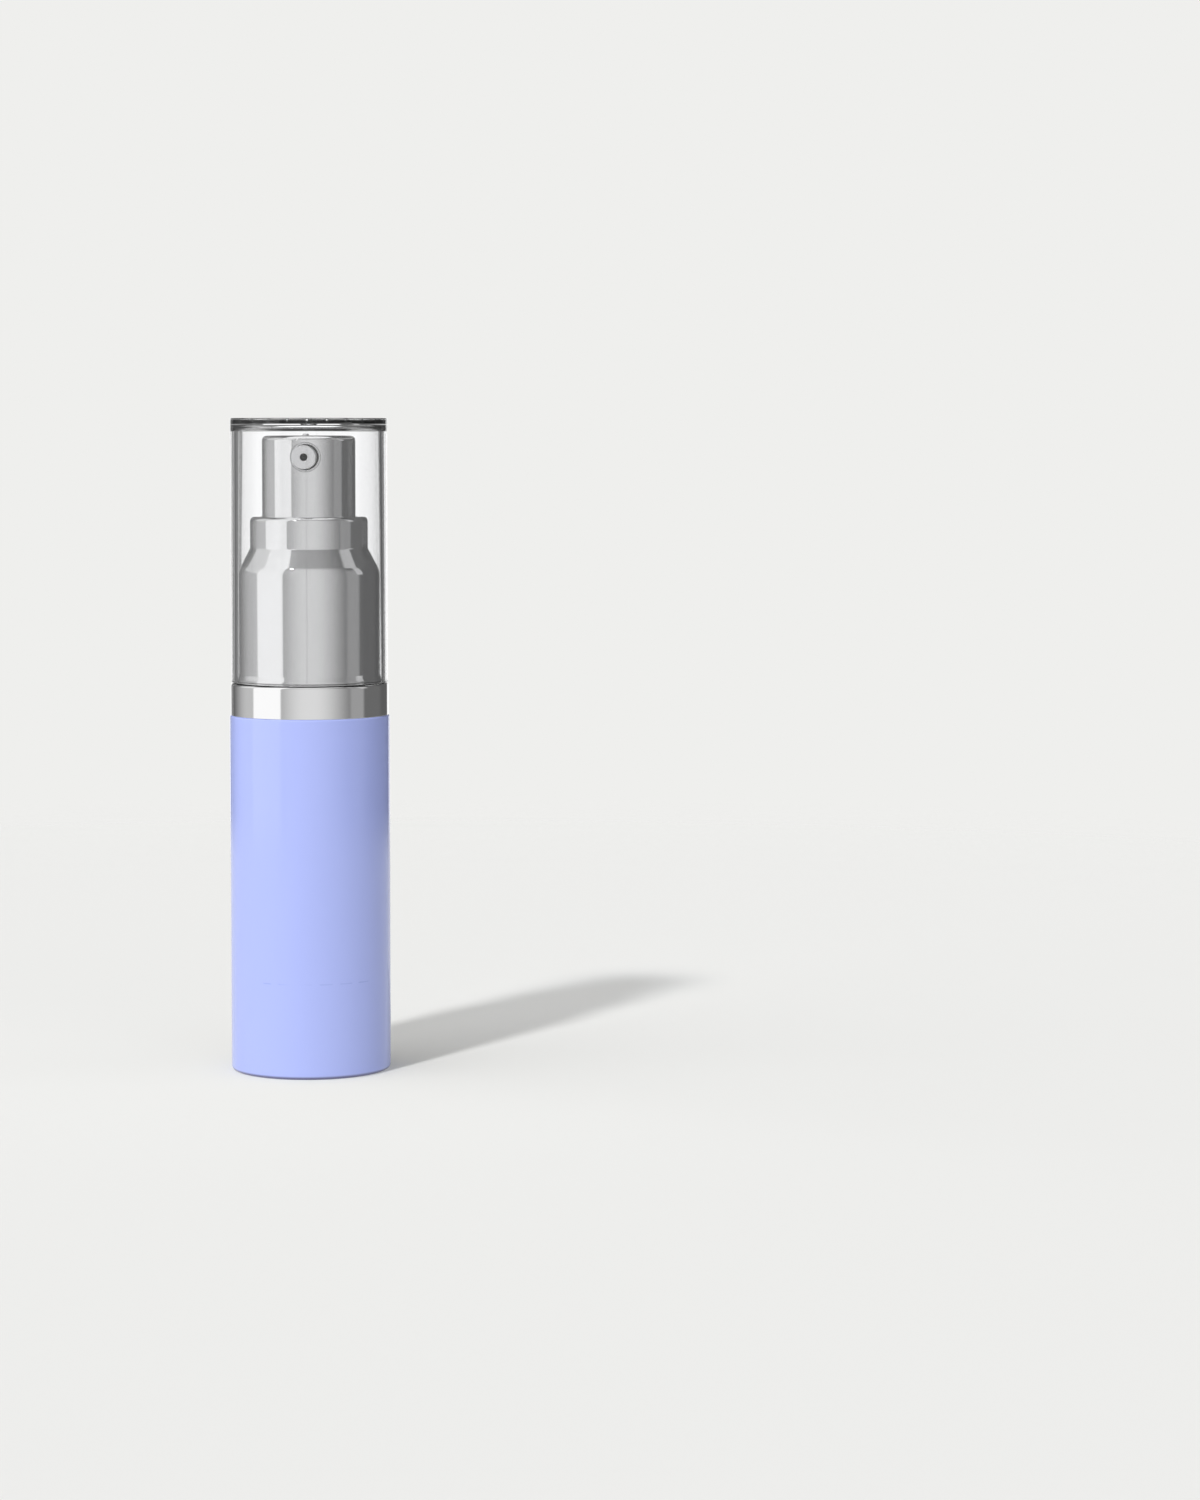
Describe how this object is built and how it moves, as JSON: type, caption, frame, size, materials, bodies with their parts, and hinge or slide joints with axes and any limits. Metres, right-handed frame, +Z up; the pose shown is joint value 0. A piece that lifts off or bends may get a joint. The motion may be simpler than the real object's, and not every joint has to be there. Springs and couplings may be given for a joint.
{
  "type": "airless pump bottle",
  "caption": "Airless pump bottle: glossy lavender sleeve, stepped silver collar, silver press-down actuator with a side nozzle, and a clear push-on overcap.",
  "frame": {"origin": "on the table, under the middle of the bottle", "axes": "+Z up along the bottle's axis, -Y the way the nozzle points at rest"},
  "size_m": [0.027, 0.027, 0.1102],
  "materials": {
    "sleeve": "high gloss",
    "plug": "satin, straight from the mould",
    "natural_plastic": "natural polypropylene, slightly milky",
    "soft_plastic": "soft white polyethylene",
    "silver": "bright silver, polished and anodised",
    "silver_plastic": "metallised silver",
    "seal": "soft, pale grey",
    "steel": "drawn stainless wire and a polished ball",
    "clear_plastic": "clear, polished"
  },
  "bodies": {
    "bottle": {"outer_sleeve": "sleeve", "base_plug": "plug", "container": "natural_plastic", "shoulder_ring": "silver", "collar": "silver", "closure": "natural_plastic", "housing_gasket": "seal", "pump_housing": "natural_plastic", "ball_cage": "natural_plastic", "stem_guide": "natural_plastic", "return_spring": "steel"},
    "follower": {"follower_piston": "soft_plastic"},
    "check_ball": {"inlet_ball": "steel"},
    "plunger": {"stem": "natural_plastic", "valve_rod": "natural_plastic"},
    "piston": {"pump_piston": "soft_plastic"},
    "actuator": {"actuator_core": "natural_plastic", "actuator_shell": "silver", "nozzle": "silver_plastic"},
    "cap": {"overcap": "clear_plastic"}
  },
  "joints": [
    {"name": "cap_lift", "type": "slide", "parent": "bottle", "child": "cap", "axis": [0, 0, 1], "range_m": [0, 0.06]},
    {"name": "pump_stroke", "type": "slide", "parent": "bottle", "child": "plunger", "axis": [0, 0, -1], "range_m": [0, 0.005], "stiffness_N_per_m": 400, "springref_m": -0.004, "deforming": ["return_spring"]},
    {"name": "head_swivel", "type": "hinge", "parent": "plunger", "child": "actuator", "pos_m": [0, 0, 0.1], "axis": [0, 0, 1], "continuous": true},
    {"name": "outlet_valve", "type": "slide", "parent": "plunger", "child": "piston", "axis": [0, 0, 1], "range_m": [0, 0.0006]},
    {"name": "inlet_valve", "type": "slide", "parent": "bottle", "child": "check_ball", "axis": [0, 0, 1], "range_m": [0, 0.0008]},
    {"name": "follower_rise", "type": "slide", "parent": "bottle", "child": "follower", "axis": [0, 0, 1], "range_m": [0, 0.046]}
  ]
}
